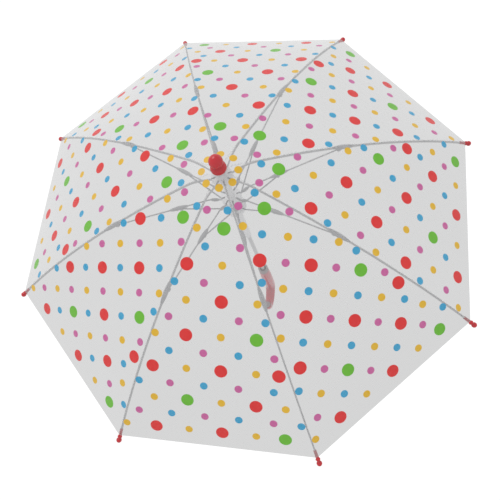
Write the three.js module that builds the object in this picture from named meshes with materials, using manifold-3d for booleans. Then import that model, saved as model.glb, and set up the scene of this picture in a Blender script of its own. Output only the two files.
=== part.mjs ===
// A clear dome umbrella for a child, open. Millimetres, +Z up along the shaft.
// The origin is the middle of the hand grip. The hook of the handle points to +X.
import * as THREE from "three";
import Module from "manifold-3d";

const wasm = await Module();
wasm.setup();
const { Manifold } = wasm;

// ---- Driving dimensions ----
const RIBS = 8;
const TIP_RADIUS = 391.5; // shaft axis to a corner of the canopy
const CROWN_Z = 540; // the film's crown above the middle of the grip
const CROWN_SLOPE = 12; // degrees below level, at the crown
const RIM_SLOPE = 40.77; // degrees below level, at the rim
const FIRST_RIB = 202.5; // azimuth of rib 1 in degrees; the ribs are numbered clockwise from above
const GAP = 0.3; // between pieces that touch

const FILM = 0.4;
const PATCH_RADIUS = 15; // the crown patch of film
const RIB_D = 3;
const RIB_DROP = 3; // film surface to the rib's middle, square to the film
const HUB_R = 12.5; // circle of hinge points, the same on notch and runner
const NOTCH_Z = -24; // hinge plane of the notch, from the crown
const JOINT_R = 172; // rib joint pin from the axis, open
const JOINT_DROP = 4; // rib's middle down to the pin

const SHAFT_R = 3.7;
const SLEEVE_R = 5.8;
const SLEEVE_BOTTOM = -260; // from the crown, open
const KNEE_R = 31; // where the stretcher's bent inner end meets its straight part
const KNEE_Z = -79;
const CLEVIS_R = 76; // middle clevis from the axis, open
const CLEVIS_DROP = 4.2; // stretcher's middle down to the clevis pin
const SLIDER_HUB_R = 14.5; // circle of the struts' lower ends
const SLIDER_Z = -127; // hinge plane of the slider, from the crown, open

const COLLAR_TOP = -468; // from the crown
const COLLAR_BOTTOM = -484;
const COLLAR_R = 10.5;
const GRIP_R = 12;
const GRIP_BOTTOM = -600; // where the hook starts to turn
const HOOK_R = 27; // the hook's middle line
const HOOK_END_R = 9.5;
const SOCKET_R = 6.4; // the sleeve slides into the handle
const SOCKET_BOTTOM = -515;

// ---- The canopy's shape ----
// Each gore is film bent one way only, round a circle, so its middle line is an arc.
const rad = THREE.MathUtils.degToRad;
const STEP = (2 * Math.PI) / RIBS;
const HALF = STEP / 2;
const MID_R = TIP_RADIUS * Math.cos(HALF);
const ARC = MID_R / (Math.sin(rad(RIM_SLOPE)) - Math.sin(rad(CROWN_SLOPE)));
const slopeAt = (mid) => Math.asin(Math.sin(rad(CROWN_SLOPE)) + mid / ARC);
const filmZ = (mid) => -ARC * (Math.cos(rad(CROWN_SLOPE)) - Math.cos(slopeAt(mid)));
const cornerZ = (r) => filmZ(r * Math.cos(HALF)); // the film over a rib
const ribZ = (r) => cornerZ(r) - RIB_DROP / Math.cos(slopeAt(r * Math.cos(HALF)));

// ---- Solids ----
const group = new THREE.Group();
group.name = "umbrella";

const steel = { color: 0xb9bcc0, roughness: 0.35, metalness: 0.8 };
const painted = { color: 0xc9cacc, roughness: 0.45, metalness: 0.5 };
const wire = { color: 0xa9acb0, roughness: 0.3, metalness: 0.9 };
const greyPlastic = { color: 0xb4b6ba, roughness: 0.5, metalness: 0 };
const palePlastic = { color: 0xdcdcde, roughness: 0.45, metalness: 0 };
const darkPlastic = { color: 0x4a4c50, roughness: 0.5, metalness: 0 };
const redPlastic = { color: 0xc81e24, roughness: 0.22, metalness: 0 };
const clearFilm = { color: 0xe9ecef, roughness: 0.3, metalness: 0, transparent: true, opacity: 0.35 };

function addMesh(name, solid, look, azimuth = 0) {
  const m = solid.getMesh();
  const g = new THREE.BufferGeometry();
  const points = new Float32Array((m.vertProperties.length / m.numProp) * 3);
  for (let i = 0; i < points.length / 3; i++)
    for (let k = 0; k < 3; k++) points[3 * i + k] = m.vertProperties[i * m.numProp + k];
  g.setAttribute("position", new THREE.BufferAttribute(points, 3));
  g.setIndex(new THREE.BufferAttribute(new Uint32Array(m.triVerts), 1));
  g.computeVertexNormals();
  const mesh = new THREE.Mesh(g, new THREE.MeshStandardMaterial(look));
  mesh.name = name;
  mesh.position.z = CROWN_Z;
  mesh.rotation.z = azimuth;
  group.add(mesh);
}

// A solid from points and triangles, turned so that its faces point outward.
function closed(points, triangles) {
  const make = (tris) =>
    new Manifold(new wasm.Mesh({
      numProp: 3,
      vertProperties: new Float32Array(points.flat()),
      triVerts: new Uint32Array(tris.flat()),
    }));
  const solid = make(triangles);
  return solid.volume() > 0 ? solid : make(triangles.map(([a, b, c]) => [a, c, b]));
}

// A ring of points at each place, joined to the next, with flat ends.
function loft(rings) {
  const n = rings[0].length;
  const points = rings.flat();
  const triangles = [];
  for (let i = 0; i + 1 < rings.length; i++)
    for (let k = 0; k < n; k++) {
      const a = i * n + k, b = i * n + ((k + 1) % n);
      triangles.push([a, b, b + n], [a, b + n, a + n]);
    }
  const last = (rings.length - 1) * n;
  for (let k = 1; k + 1 < n; k++) {
    triangles.push([0, k + 1, k]);
    triangles.push([last, last + k, last + k + 1]);
  }
  return closed(points, triangles);
}

// A round bar along points in the XZ plane, one radius for each.
function bar(path, radii, sides = 6) {
  const rings = path.map(([x, z], i) => {
    const [xa, za] = path[Math.max(i - 1, 0)];
    const [xb, zb] = path[Math.min(i + 1, path.length - 1)];
    const long = Math.hypot(xb - xa, zb - za);
    const nx = -(zb - za) / long, nz = (xb - xa) / long;
    return Array.from({ length: sides }, (_, k) => {
      const t = (2 * Math.PI * (k + 0.5)) / sides;
      const r = Array.isArray(radii) ? radii[i] : radii;
      return [x + nx * r * Math.cos(t), r * Math.sin(t), z + nz * r * Math.cos(t)];
    });
  });
  return loft(rings);
}

const cross = (outline) => new wasm.CrossSection([outline]);
// A turned solid about Z from [radius, height] points.
const turned = (outline, sides = 32) => Manifold.revolve(cross(outline), sides);
const tube = (inner, outer, low, high, sides = 32) =>
  turned([[inner, low], [outer, low], [outer, high], [inner, high]], sides);
// A ring of round wire about Z.
function wireRing(radius, wireR, z, around = 40, sides = 6) {
  const outline = Array.from({ length: sides }, (_, k) => {
    const t = (2 * Math.PI * k) / sides;
    return [radius + wireR * Math.cos(t), z + wireR * Math.sin(t)];
  });
  return turned(outline, around);
}
// A disc whose axis is Y, centred at (x, z).
const disc = (x, z, r, width, sides = 14, y = 0) =>
  Manifold.cylinder(width, r, r, sides, true).rotate([90, 0, 0]).translate([x, y, z]);
const block = (x, y, z, cx, cy, cz) => Manifold.cube([x, y, z], true).translate([cx, cy, cz]);

// ---- Linkage, in the plane of one rib ----
const pin = { x: JOINT_R, z: ribZ(JOINT_R) - JOINT_DROP };
// The runner's hinge is as far below the pin as the notch's is above it. Rib and stretcher then turn
// by equal angles, opposite ways, and the runner stays on the shaft at every opening.
const RUNNER_Z = 2 * pin.z - NOTCH_Z;
const beamSlope = (pin.z - KNEE_Z) / (pin.x - KNEE_R);
const beamAngle = Math.atan(beamSlope);
const beamZ = (r) => KNEE_Z + (r - KNEE_R) * beamSlope;
const clevis = {
  x: CLEVIS_R + CLEVIS_DROP * Math.sin(beamAngle),
  z: beamZ(CLEVIS_R) - CLEVIS_DROP * Math.cos(beamAngle),
};

// ---- Shaft and handle ----
addMesh("shaft", tube(3, SHAFT_R, -556, 2, 24), painted);

const CHAMFER = 1.2;
addMesh("handle_collar", turned([
  [SOCKET_R, COLLAR_BOTTOM], [COLLAR_R, COLLAR_BOTTOM], [COLLAR_R, COLLAR_TOP - CHAMFER],
  [COLLAR_R - CHAMFER, COLLAR_TOP], [SOCKET_R + 0.6, COLLAR_TOP], [SOCKET_R, COLLAR_TOP - 0.6],
]), darkPlastic);

const BUTTON_Z = -505;
const BUTTON_R = 4;
const hookTurn = 14;
const hookPath = [
  [0, COLLAR_BOTTOM - GAP], [0, COLLAR_BOTTOM - 6], [0, COLLAR_BOTTOM - 16], [0, -530], [0, -565],
];
const gripRadii = [10.6, 11.4, GRIP_R, 12.3, GRIP_R];
for (let i = 0; i <= hookTurn; i++) {
  const t = (Math.PI * i) / hookTurn;
  hookPath.push([HOOK_R * (1 - Math.cos(t)), GRIP_BOTTOM - HOOK_R * Math.sin(t)]);
  gripRadii.push(11.6 + (HOOK_END_R - 11.6) * (i / hookTurn));
}
hookPath.push([2 * HOOK_R, GRIP_BOTTOM + 14], [2 * HOOK_R, GRIP_BOTTOM + 17]);
gripRadii.push(HOOK_END_R, HOOK_END_R - 2.2);
const socket = tube(0, SOCKET_R, SOCKET_BOTTOM, COLLAR_BOTTOM + 1);
const shaftHole = tube(0, SHAFT_R + GAP, -560, SOCKET_BOTTOM + 1);
const buttonHole = Manifold.cylinder(20, BUTTON_R + GAP, BUTTON_R + GAP, 24)
  .rotate([0, -90, 0]).translate([-SHAFT_R - 1, 0, BUTTON_Z]);
addMesh("handle", bar(hookPath, gripRadii, 20).subtract(socket).subtract(shaftHole)
  .subtract(buttonHole), redPlastic);

addMesh("release_button", Manifold.cylinder(5.8, BUTTON_R, BUTTON_R - 0.4, 24)
  .rotate([0, -90, 0]).translate([-8.2, 0, BUTTON_Z]), darkPlastic);

// ---- Crown ----
const STEM_R = 3 - GAP;
const dome = [];
for (let i = 0; i <= 6; i++) {
  const t = (Math.PI / 2) * (i / 6) * 0.72;
  dome.push([10.5 * Math.cos(t), 3 + 10.5 * Math.sin(t)]);
}
const ball = [];
for (let i = 0; i <= 9; i++) {
  const t = -0.95 + (Math.PI / 2 + 0.95) * (i / 9);
  ball.push([9.2 * Math.cos(t), 21.5 + 9.2 * Math.sin(t)]);
}
ball[9][0] = 0;
addMesh("finial", turned([
  [0, -12], [STEM_R, -12], [STEM_R, 2.6], [10.5, 2.6], ...dome, ...ball,
], 24), redPlastic);

const ring8 = (r, z, turn = HALF) => Array.from({ length: RIBS }, (_, k) => [
  r * Math.cos(turn + k * STEP), r * Math.sin(turn + k * STEP), z,
]);
const patchHole = SHAFT_R + GAP;
const patch = loft([
  ring8(PATCH_RADIUS, cornerZ(PATCH_RADIUS) - FILM), ring8(PATCH_RADIUS, cornerZ(PATCH_RADIUS)),
  ring8(1, cornerZ(1)),
]).hull().subtract(loft([
  ring8(PATCH_RADIUS + 1, cornerZ(PATCH_RADIUS + 1) - FILM - 0.02),
  ring8(0.1, cornerZ(0.1) - FILM),
]).hull()).subtract(tube(0, patchHole, -20, 20, 24));
addMesh("crown_patch", patch, clearFilm);

// A hub with a slot for each arm and a groove for the ring wire.
const RING_WIRE = 0.6;
const HUB_OUT = 15.5;
function hub(z, bore, low, high, stem) {
  let body = turned([
    [bore, low], [HUB_OUT - 0.8, low], [HUB_OUT, low + 0.8], [HUB_OUT, high - 0.8],
    [HUB_OUT - 0.8, high], [bore, high],
  ], 32);
  if (stem) body = body.add(stem);
  for (let k = 0; k < RIBS; k++)
    body = body.subtract(block(9, 2.4, high - low + 2, 13.4, 0, (low + high) / 2)
      .rotate([0, 0, FIRST_RIB - 45 * k]));
  return body.subtract(wireRing(HUB_R, RING_WIRE + 0.25, z));
}
addMesh("notch", hub(NOTCH_Z, SHAFT_R + GAP, NOTCH_Z - 5, NOTCH_Z + 5,
  tube(SHAFT_R + GAP, 6.4, NOTCH_Z + 4, -2.2, 24)), palePlastic);
addMesh("notch_ring", wireRing(HUB_R, RING_WIRE, NOTCH_Z), wire);

const RUNNER_LOW = RUNNER_Z - 6;
addMesh("runner", hub(RUNNER_Z, SHAFT_R + GAP, RUNNER_LOW, RUNNER_Z + 6,
  tube(SHAFT_R + GAP, SLEEVE_R, RUNNER_Z + 5, RUNNER_Z + 48, 24)), palePlastic);
addMesh("runner_ring", wireRing(HUB_R, RING_WIRE, RUNNER_Z), wire);

// The slider's bore is wide from its top down to the spring's seat.
const SEAT_Z = SLIDER_Z - 30;
const SPRING_BORE = 5.3;
const SLIDER_OUT = SLIDER_HUB_R + 3;
const sliderBody = turned([
  [SPRING_BORE, SEAT_Z], [SHAFT_R + GAP, SEAT_Z], [SHAFT_R + GAP, SLEEVE_BOTTOM],
  [SLEEVE_R - 0.5, SLEEVE_BOTTOM], [SLEEVE_R, SLEEVE_BOTTOM + 0.5], [SLEEVE_R, SLIDER_Z - 6],
  [SLIDER_OUT - 1, SLIDER_Z - 5], [SLIDER_OUT, SLIDER_Z - 4],
  [SLIDER_OUT, SLIDER_Z + 4], [SLIDER_OUT - 1, SLIDER_Z + 5], [SPRING_BORE, SLIDER_Z + 5],
], 32);
let slider = sliderBody;
for (let k = 0; k < RIBS; k++)
  slider = slider.subtract(block(11, 2.2, 12, 12.8, 0, SLIDER_Z).rotate([0, 0, FIRST_RIB - 45 * k]));
addMesh("slider", slider, palePlastic);

// The spring is round wire between the runner and the seat.
const SPRING_R = 4.6;
const SPRING_WIRE = 0.5;
const springLow = SEAT_Z + GAP + SPRING_WIRE;
const springHigh = RUNNER_LOW - GAP - SPRING_WIRE;
const turns = 10;
const coil = [];
for (let i = 0; i <= turns * 10; i++) {
  const t = (2 * Math.PI * i) / 10;
  const share = i / (turns * 10);
  const z = springLow + (springHigh - springLow) * share;
  const c = Math.cos(t), s = Math.sin(t);
  coil.push(Array.from({ length: 5 }, (_, k) => {
    const a = (2 * Math.PI * k) / 5;
    const r = SPRING_R + SPRING_WIRE * Math.cos(a);
    return [r * c, r * s, z + SPRING_WIRE * Math.sin(a)];
  }));
}
addMesh("opening_spring", loft(coil), wire);

// ---- One rib with all that it carries, along +X, used eight times ----
const EYE_W = 1.6;
const ribPath = [[HUB_R + 1.6, NOTCH_Z + 0.9], [HUB_R + 5, NOTCH_Z + 3.2], [30, -15.5], [38, -12.6]];
const ribRadii = [0.8, 0.8, RIB_D / 2, RIB_D / 2];
for (let i = 0; i <= 13; i++) {
  const r = 52 + (TIP_RADIUS - 3 - 52) * (i / 13);
  ribPath.push([r, ribZ(r)]);
  ribRadii.push(RIB_D / 2);
}
const rib = bar(ribPath, ribRadii)
  .add(disc(HUB_R, NOTCH_Z, 2.7, EYE_W)).subtract(disc(HUB_R, NOTCH_Z, RING_WIRE + 0.25, 4));

const jointSlope = (ribZ(JOINT_R + 8) - ribZ(JOINT_R - 8)) / 16;
const jointTilt = THREE.MathUtils.radToDeg(Math.atan(-jointSlope));
const holdRib = (solid) => solid.rotate([0, jointTilt, 0])
  .translate([JOINT_R, 0, ribZ(JOINT_R)]);
const PIN_R = 0.75;
let ribJoint = holdRib(Manifold.hull([
  block(28, 4.2, 2.6, 8, 0, -0.5), block(23, 5.4, 2.0, 7.5, 0, -0.6), block(22, 3.4, 3.8, 7, 0, -0.4),
]));
for (const side of [-1, 1])
  ribJoint = ribJoint.add(disc(pin.x, pin.z, 3.1, 1, 16, side * 1.8))
    .add(holdRib(block(6, 1, 5, 0, side * 1.8, -2.4)));
const jointSlot = disc(pin.x, pin.z, 2.3, 2.6);
ribJoint = ribJoint.subtract(jointSlot);
ribJoint = ribJoint.add(disc(pin.x, pin.z, PIN_R, 4.2, 12))
  .subtract(bar(ribPath, RIB_D / 2 + GAP));

const tipSlope = Math.atan((ribZ(TIP_RADIUS) - ribZ(TIP_RADIUS - 10)) / 10);
const tipTurn = THREE.MathUtils.radToDeg(Math.PI / 2 - tipSlope);
const tipBall = [];
for (let i = 0; i <= 5; i++) {
  const t = -1.15 + (Math.PI / 2 + 1.15) * (i / 5);
  tipBall.push([4 * Math.cos(t), 11 + 4 * Math.sin(t)]);
}
tipBall[5][0] = 0;
const tipSocket = RIB_D / 2 + GAP;
const tip = turned([
  [tipSocket, -9], [2.3, -9], [2.3, 0.6], [3.4, 3.0], [3.4, 4.2], [1.6, 5.4],
  ...tipBall, [0, 1.5], [tipSocket, 1.5],
], 12).rotate([0, tipTurn, 0]).translate([TIP_RADIUS - 0.5, 0, ribZ(TIP_RADIUS - 0.5)]);

// The film from the middle of one gore over the rib to the middle of the next.
const panelRings = [];
for (let i = 0; i <= 12; i++) {
  const mid = (PATCH_RADIUS + GAP) * Math.cos(HALF)
    + (MID_R - (PATCH_RADIUS + GAP) * Math.cos(HALF)) * (i / 12);
  const z = filmZ(mid);
  const rise = FILM;
  const halfGap = GAP / 2;
  const lateral = [mid * Math.cos(HALF) + halfGap * Math.sin(HALF),
    mid * Math.sin(HALF) - halfGap * Math.cos(HALF)];
  const rib = mid / Math.cos(HALF);
  panelRings.push([
    [lateral[0], -lateral[1], z], [rib, 0, z], [lateral[0], lateral[1], z],
    [lateral[0], lateral[1], z - rise], [rib, 0, z - rise], [lateral[0], -lateral[1], z - rise],
  ]);
}
// Each ring is an open V, so the ends are closed with two quads each and not with a fan.
function panel(rings) {
  const points = rings.flat();
  const triangles = [];
  const n = 6;
  for (let i = 0; i + 1 < rings.length; i++)
    for (let k = 0; k < n; k++) {
      const a = i * n + k, b = i * n + ((k + 1) % n);
      triangles.push([a, b, b + n], [a, b + n, a + n]);
    }
  const e = (rings.length - 1) * n;
  for (const [s, flip] of [[0, false], [e, true]])
    for (const [a, b, c] of [[0, 4, 1], [0, 5, 4], [1, 3, 2], [1, 4, 3]])
      triangles.push(flip ? [s + a, s + c, s + b] : [s + a, s + b, s + c]);
  return closed(points, triangles);
}
const canopy = panel(panelRings);

const kneeSlope = (KNEE_Z - RUNNER_Z) / (KNEE_R - HUB_R);
const stretcherPath = [
  [HUB_R + 1.5, RUNNER_Z + 1.5 * kneeSlope], [HUB_R + 4.5, RUNNER_Z + 4.5 * kneeSlope],
  [HUB_R + 8, RUNNER_Z + 8 * kneeSlope],
  ...[KNEE_R, 52, 60, JOINT_R - 14, JOINT_R - 1.3].map((r) => [r, beamZ(r)]),
];
let stretcher = bar(stretcherPath, [0.8, 0.8, 1.5, 1.5, 1.8, 1.3, 1.3, 0.8])
  .add(disc(HUB_R, RUNNER_Z, 2.7, EYE_W)).add(disc(pin.x, pin.z, 1.9, EYE_W))
  .subtract(disc(pin.x, pin.z, PIN_R + 0.3, 4, 12))
  .subtract(disc(HUB_R, RUNNER_Z, RING_WIRE + 0.25, 4));
const armTilt = -THREE.MathUtils.radToDeg(beamAngle);
const holdArm = (solid) => solid.rotate([0, armTilt, 0])
  .translate([CLEVIS_R, 0, beamZ(CLEVIS_R)]);
const CLEVIS_PIN = 0.7;
let armClevis = holdArm(Manifold.hull([
  block(24, 3.6, 3.6, 4, 0, 0), block(16, 4.6, 4.2, 2, 0, 0),
]));
for (const side of [-1, 1])
  armClevis = armClevis.add(holdArm(block(5, 0.9, 5, 0, side * 1.55, -3.4)));
armClevis = armClevis.subtract(holdArm(block(7, 2.2, 4.4, 0, 0, -4.2)))
  .add(disc(clevis.x, clevis.z, CLEVIS_PIN, 3.6, 12));
stretcher = stretcher.add(armClevis);

const strutEnd = [SLIDER_HUB_R, SLIDER_Z];
const strutPath = [0.016, 0.984].map((t) => [
  strutEnd[0] + (clevis.x - strutEnd[0]) * t, strutEnd[1] + (clevis.z - strutEnd[1]) * t,
]);
const strut = bar(strutPath, 0.8)
  .add(disc(clevis.x, clevis.z, 1.7, 1.4)).add(disc(SLIDER_HUB_R, SLIDER_Z, 1.5, 1.4))
  .subtract(disc(clevis.x, clevis.z, CLEVIS_PIN + 0.3, 4, 12));

for (let k = 1; k <= RIBS; k++) {
  const azimuth = rad(FIRST_RIB) - (k - 1) * STEP;
  addMesh(`rib_${k}`, rib, painted, azimuth);
  addMesh(`rib_joint_${k}`, ribJoint, greyPlastic, azimuth);
  addMesh(`tip_${k}`, tip, redPlastic, azimuth);
  addMesh(`canopy_${k}`, canopy, clearFilm, azimuth);
  addMesh(`stretcher_${k}`, stretcher, steel, azimuth);
  addMesh(`strut_${k}`, strut, wire, azimuth);
}

export default group;
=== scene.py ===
import math

import bmesh
import bpy
from mathutils import Matrix, Vector


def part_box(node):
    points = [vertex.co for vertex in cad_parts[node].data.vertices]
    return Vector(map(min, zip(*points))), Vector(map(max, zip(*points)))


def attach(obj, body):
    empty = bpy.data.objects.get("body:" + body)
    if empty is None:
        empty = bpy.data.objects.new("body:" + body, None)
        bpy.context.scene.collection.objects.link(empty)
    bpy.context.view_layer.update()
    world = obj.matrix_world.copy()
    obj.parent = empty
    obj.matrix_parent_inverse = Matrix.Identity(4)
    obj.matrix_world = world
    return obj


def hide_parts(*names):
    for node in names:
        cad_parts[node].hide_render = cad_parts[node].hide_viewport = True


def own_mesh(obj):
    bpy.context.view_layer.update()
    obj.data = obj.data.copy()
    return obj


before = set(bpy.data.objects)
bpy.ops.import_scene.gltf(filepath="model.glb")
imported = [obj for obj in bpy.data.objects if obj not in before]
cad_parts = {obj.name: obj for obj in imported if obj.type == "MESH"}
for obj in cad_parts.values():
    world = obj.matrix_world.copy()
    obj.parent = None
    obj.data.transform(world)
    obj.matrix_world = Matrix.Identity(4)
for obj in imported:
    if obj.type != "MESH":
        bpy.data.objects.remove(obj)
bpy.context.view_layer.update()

scene = bpy.context.scene

# --------------------------------------
# Studio and camera. A white sweep lies well under the handle, the light is a
# white surround with one wide soft lamp, and the camera looks down on the dome
# from a little to one side.
# --------------------------------------
FLOOR_Z = -1.6
FLOOR_SIZE = 24.0

camera_data = bpy.data.cameras.new("camera")
camera_data.lens = 38.03
camera_data.sensor_width = 36.0
camera = bpy.data.objects.new("camera", camera_data)
camera.location = (0.323, 0.1734, 1.1727)
camera.rotation_euler = [math.radians(a) for a in (18.918, 8.701, 95.8)]
scene.collection.objects.link(camera)
scene.camera = camera

scene.view_settings.view_transform = "Standard"
# Many layers of clear film lie behind one another when the umbrella is folded.
scene.cycles.transparent_max_bounces = 32

surround = bpy.data.worlds.new("white surround")
surround.use_nodes = True
surround.node_tree.nodes["Background"].inputs["Color"].default_value = (1.0, 1.0, 1.0, 1.0)
surround.node_tree.nodes["Background"].inputs["Strength"].default_value = 1.02
scene.world = surround

lamp_data = bpy.data.lights.new("soft lamp", "AREA")
lamp_data.shape = "DISK"
lamp_data.size = 1.6
lamp_data.energy = 22.0
lamp = bpy.data.objects.new("soft lamp", lamp_data)
lamp.location = (-1.3, -1.1, 2.6)
lamp.rotation_euler = (Vector((0, 0, 0.4)) - lamp.location).to_track_quat("-Z", "Y").to_euler()
scene.collection.objects.link(lamp)

floor_mesh = bpy.data.meshes.new("floor")
half = FLOOR_SIZE / 2
floor_mesh.from_pydata(
    [(-half, -half, FLOOR_Z), (half, -half, FLOOR_Z), (half, half, FLOOR_Z), (-half, half, FLOOR_Z)],
    [], [(0, 1, 2, 3)])
floor = bpy.data.objects.new("floor", floor_mesh)
scene.collection.objects.link(floor)
floor_paint = bpy.data.materials.new("floor paint")
floor_paint.use_nodes = True
floor_shader = floor_paint.node_tree.nodes["Principled BSDF"]
floor_shader.inputs["Base Color"].default_value = (0.98, 0.98, 0.98, 1.0)
floor_shader.inputs["Roughness"].default_value = 0.9
floor_shader.inputs["Specular IOR Level"].default_value = 0.1
floor_mesh.materials.append(floor_paint)

# --------------------------------------
# Shaft. A drawn steel tube, painted light grey, that runs from the crown down
# into the handle. All the working parts slide on it or are pinned to it.
# --------------------------------------
SHAFT_RADIUS = 3.7  # millimetres, as every size in these sections
SHAFT_PROUD = 2.0  # the tube stands above the film's crown by this
shaft_low, shaft_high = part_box("shaft")
CROWN = Matrix.Translation((0, 0, shaft_high.z - SHAFT_PROUD / 1000)) @ Matrix.Scale(0.001, 4)
SHAFT_LENGTH = (shaft_high.z - shaft_low.z) * 1000


def finish(name, pale, deep, rough, grain=1.0, stretch=(1, 1, 1), bump=0.05, wear=None, **fixed):
    """A finish with mottled colour, uneven gloss and a fine surface. Grain is in millimetres."""
    material = bpy.data.materials.new(name)
    material.use_nodes = True
    nodes, links = material.node_tree.nodes, material.node_tree.links
    shader = nodes["Principled BSDF"]
    for socket, value in fixed.items():
        shader.inputs[socket.replace("_", " ")].default_value = value
    place = nodes.new("ShaderNodeTexCoord")
    mapping = nodes.new("ShaderNodeMapping")
    mapping.inputs["Scale"].default_value = stretch
    links.new(place.outputs["Object"], mapping.inputs["Vector"])

    def noise(size, detail):
        texture = nodes.new("ShaderNodeTexNoise")
        texture.inputs["Scale"].default_value = 1000 / size
        texture.inputs["Detail"].default_value = detail
        links.new(mapping.outputs["Vector"], texture.inputs["Vector"])
        return texture.outputs["Fac"]

    def spread(value, low, high, least=0.0, most=1.0):
        between = nodes.new("ShaderNodeMapRange")
        for label, number in (("From Min", low), ("From Max", high), ("To Min", least), ("To Max", most)):
            between.inputs[label].default_value = number
        links.new(value, between.inputs["Value"])
        return between.outputs["Result"]

    cloud, fine = noise(grain * 14, detail=5), noise(grain, detail=3)
    colour = nodes.new("ShaderNodeMix")
    colour.data_type = "RGBA"
    colour.inputs["A"].default_value = (*deep, 1)
    colour.inputs["B"].default_value = (*pale, 1)
    links.new(spread(cloud, 0.3, 0.7), colour.inputs["Factor"])
    base = colour.outputs["Result"]
    if wear:
        worn = nodes.new("ShaderNodeMix")
        worn.data_type = "RGBA"
        worn.inputs["B"].default_value = (*wear, 1)
        links.new(spread(fine, 0.62, 0.7), worn.inputs["Factor"])
        links.new(base, worn.inputs["A"])
        base = worn.outputs["Result"]
    links.new(base, shader.inputs["Base Color"])
    links.new(spread(fine, 0.3, 0.7, *rough), shader.inputs["Roughness"])
    relief = nodes.new("ShaderNodeBump")
    relief.inputs["Strength"].default_value = bump
    relief.inputs["Distance"].default_value = 0.0004
    links.new(fine, relief.inputs["Height"])
    links.new(relief.outputs["Normal"], shader.inputs["Normal"])
    return material


def turned(outline, sides=48, loop=False):
    """A shape turned about Z from (radius, height) points; a loop outline makes a ring with a bore."""
    points, rows, faces = [], [], []
    for r, z in outline:
        rows.append(list(range(len(points), len(points) + (sides if r > 1e-6 else 1))))
        points += [(r * math.cos(math.tau * i / sides), r * math.sin(math.tau * i / sides), z)
                   for i in range(len(rows[-1]))]
    for a, b in zip(rows, rows[1:] + (rows[:1] if loop else [])):
        for i in range(sides):
            j = (i + 1) % sides
            corners = [a[i % len(a)], a[j % len(a)], b[j % len(b)], b[i % len(b)]]
            faces.append(tuple(dict.fromkeys(corners)))
    return points, faces


def placed(shape, matrix):
    points, faces = shape
    return [tuple(matrix @ Vector(p)) for p in points], faces


def joined(*shapes):
    points, faces = [], []
    for more, tris in shapes:
        faces += [tuple(i + len(points) for i in f) for f in tris]
        points += more
    return points, faces


def piece(name, shape, material, body, stands_for=(), smooth=32):
    """A finished piece from a shape in millimetres about the crown."""
    mesh = bpy.data.meshes.new(name)
    points, faces = placed(shape, CROWN)
    mesh.from_pydata(points, [], faces)
    work = bmesh.new()
    work.from_mesh(mesh)
    bmesh.ops.remove_doubles(work, verts=work.verts, dist=1e-7)
    bmesh.ops.recalc_face_normals(work, faces=work.faces)
    work.to_mesh(mesh)
    work.free()
    mesh.shade_smooth()
    mesh.set_sharp_from_angle(angle=math.radians(smooth))
    mesh.materials.append(material)
    made = bpy.data.objects.new(name, mesh)
    scene.collection.objects.link(made)
    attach(made, body)
    if stands_for:
        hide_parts(*stands_for)
    return made


shaft_paint = finish("shaft paint", (0.66, 0.66, 0.67), (0.59, 0.59, 0.6), (0.28, 0.42), grain=0.8,
                     stretch=(1, 1, 0.06), bump=0.05, wear=(0.5, 0.5, 0.5), Metallic=0.2)
shaft_bottom = SHAFT_PROUD - SHAFT_LENGTH
piece("shaft_tube", turned([
    (0, shaft_bottom), (SHAFT_RADIUS, shaft_bottom), (SHAFT_RADIUS, SHAFT_PROUD - 0.5),
    (SHAFT_RADIUS - 0.5, SHAFT_PROUD), (0, SHAFT_PROUD),
], sides=40), shaft_paint, "shaft_and_handle", ["shaft"])

# --------------------------------------
# Handle. A crook moulded in glossy red plastic in two halves, so a fine ridge
# runs down its inner and outer lines. A socket in its top takes the slider
# when the umbrella is folded, and a dark plug closes the end of the hook.
# --------------------------------------
HANDLE_TOP = -484.3
HOOK_START = -600.0
HOOK_RADIUS = 27.0
HOOK_END = HOOK_START + 8.0  # a straight part follows the turn, up to the plug
TOP_GIRTH, NECK_GIRTH, GRIP_GIRTH, BEND_GIRTH, END_GIRTH = 10.3, 10.9, 12.3, 11.7, 9.4  # radii, going down
CHAMFER, GRIP_END = 2, 70  # how far down the top's edge and the thick of the grip reach
GRIP_STEPS, TURN_STEPS = 33, 36
RIDGE, RIDGE_FOOT, RIDGE_TOP = 0.16, 0.05, 0.022  # height, and half widths in radians
SOCKET_RADIUS, SOCKET_BOTTOM, SOCKET_LENGTH = 6.4, -515.0, 40
BUTTON_Z, BUTTON_HOLE, BUTTON_HOLE_LENGTH = -505.0, 4.3, 16


def swept(line, radii, around):
    """Rings round a line in the XZ plane, closed at its ends. Around gives (angle, extra radius) pairs."""
    points, faces, rows = [], [], []
    for i, (x, z) in enumerate(line):
        (xa, za), (xb, zb) = line[max(i - 1, 0)], line[min(i + 1, len(line) - 1)]
        along = math.hypot(xb - xa, zb - za)
        nx, nz = -(zb - za) / along, (xb - xa) / along
        rows.append(range(len(points), len(points) + len(around)))
        for angle, extra in around:
            r = radii[i] + extra
            points.append((x + nx * r * math.cos(angle), r * math.sin(angle), z + nz * r * math.cos(angle)))
    for a, b in zip(rows, rows[1:]):
        for i in range(len(around)):
            j = (i + 1) % len(around)
            faces.append((a[i], a[j], b[j], b[i]))
    return points, faces + [tuple(rows[0]), tuple(rows[-1])]


def rough_mesh(shape):
    """An unfinished mesh from a shape, with its faces turned outwards."""
    mesh = bpy.data.meshes.new("work")
    mesh.from_pydata(shape[0], [], shape[1])
    work = bmesh.new()
    work.from_mesh(mesh)
    bmesh.ops.recalc_face_normals(work, faces=work.faces)
    work.to_mesh(mesh)
    work.free()
    return mesh


def evaluated(obj):
    """The plain mesh that an object's modifiers make."""
    return bpy.data.meshes.new_from_object(obj.evaluated_get(bpy.context.evaluated_depsgraph_get()))


def as_shape(mesh):
    return [v.co[:] for v in mesh.vertices], [tuple(p.vertices) for p in mesh.polygons]


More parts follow.
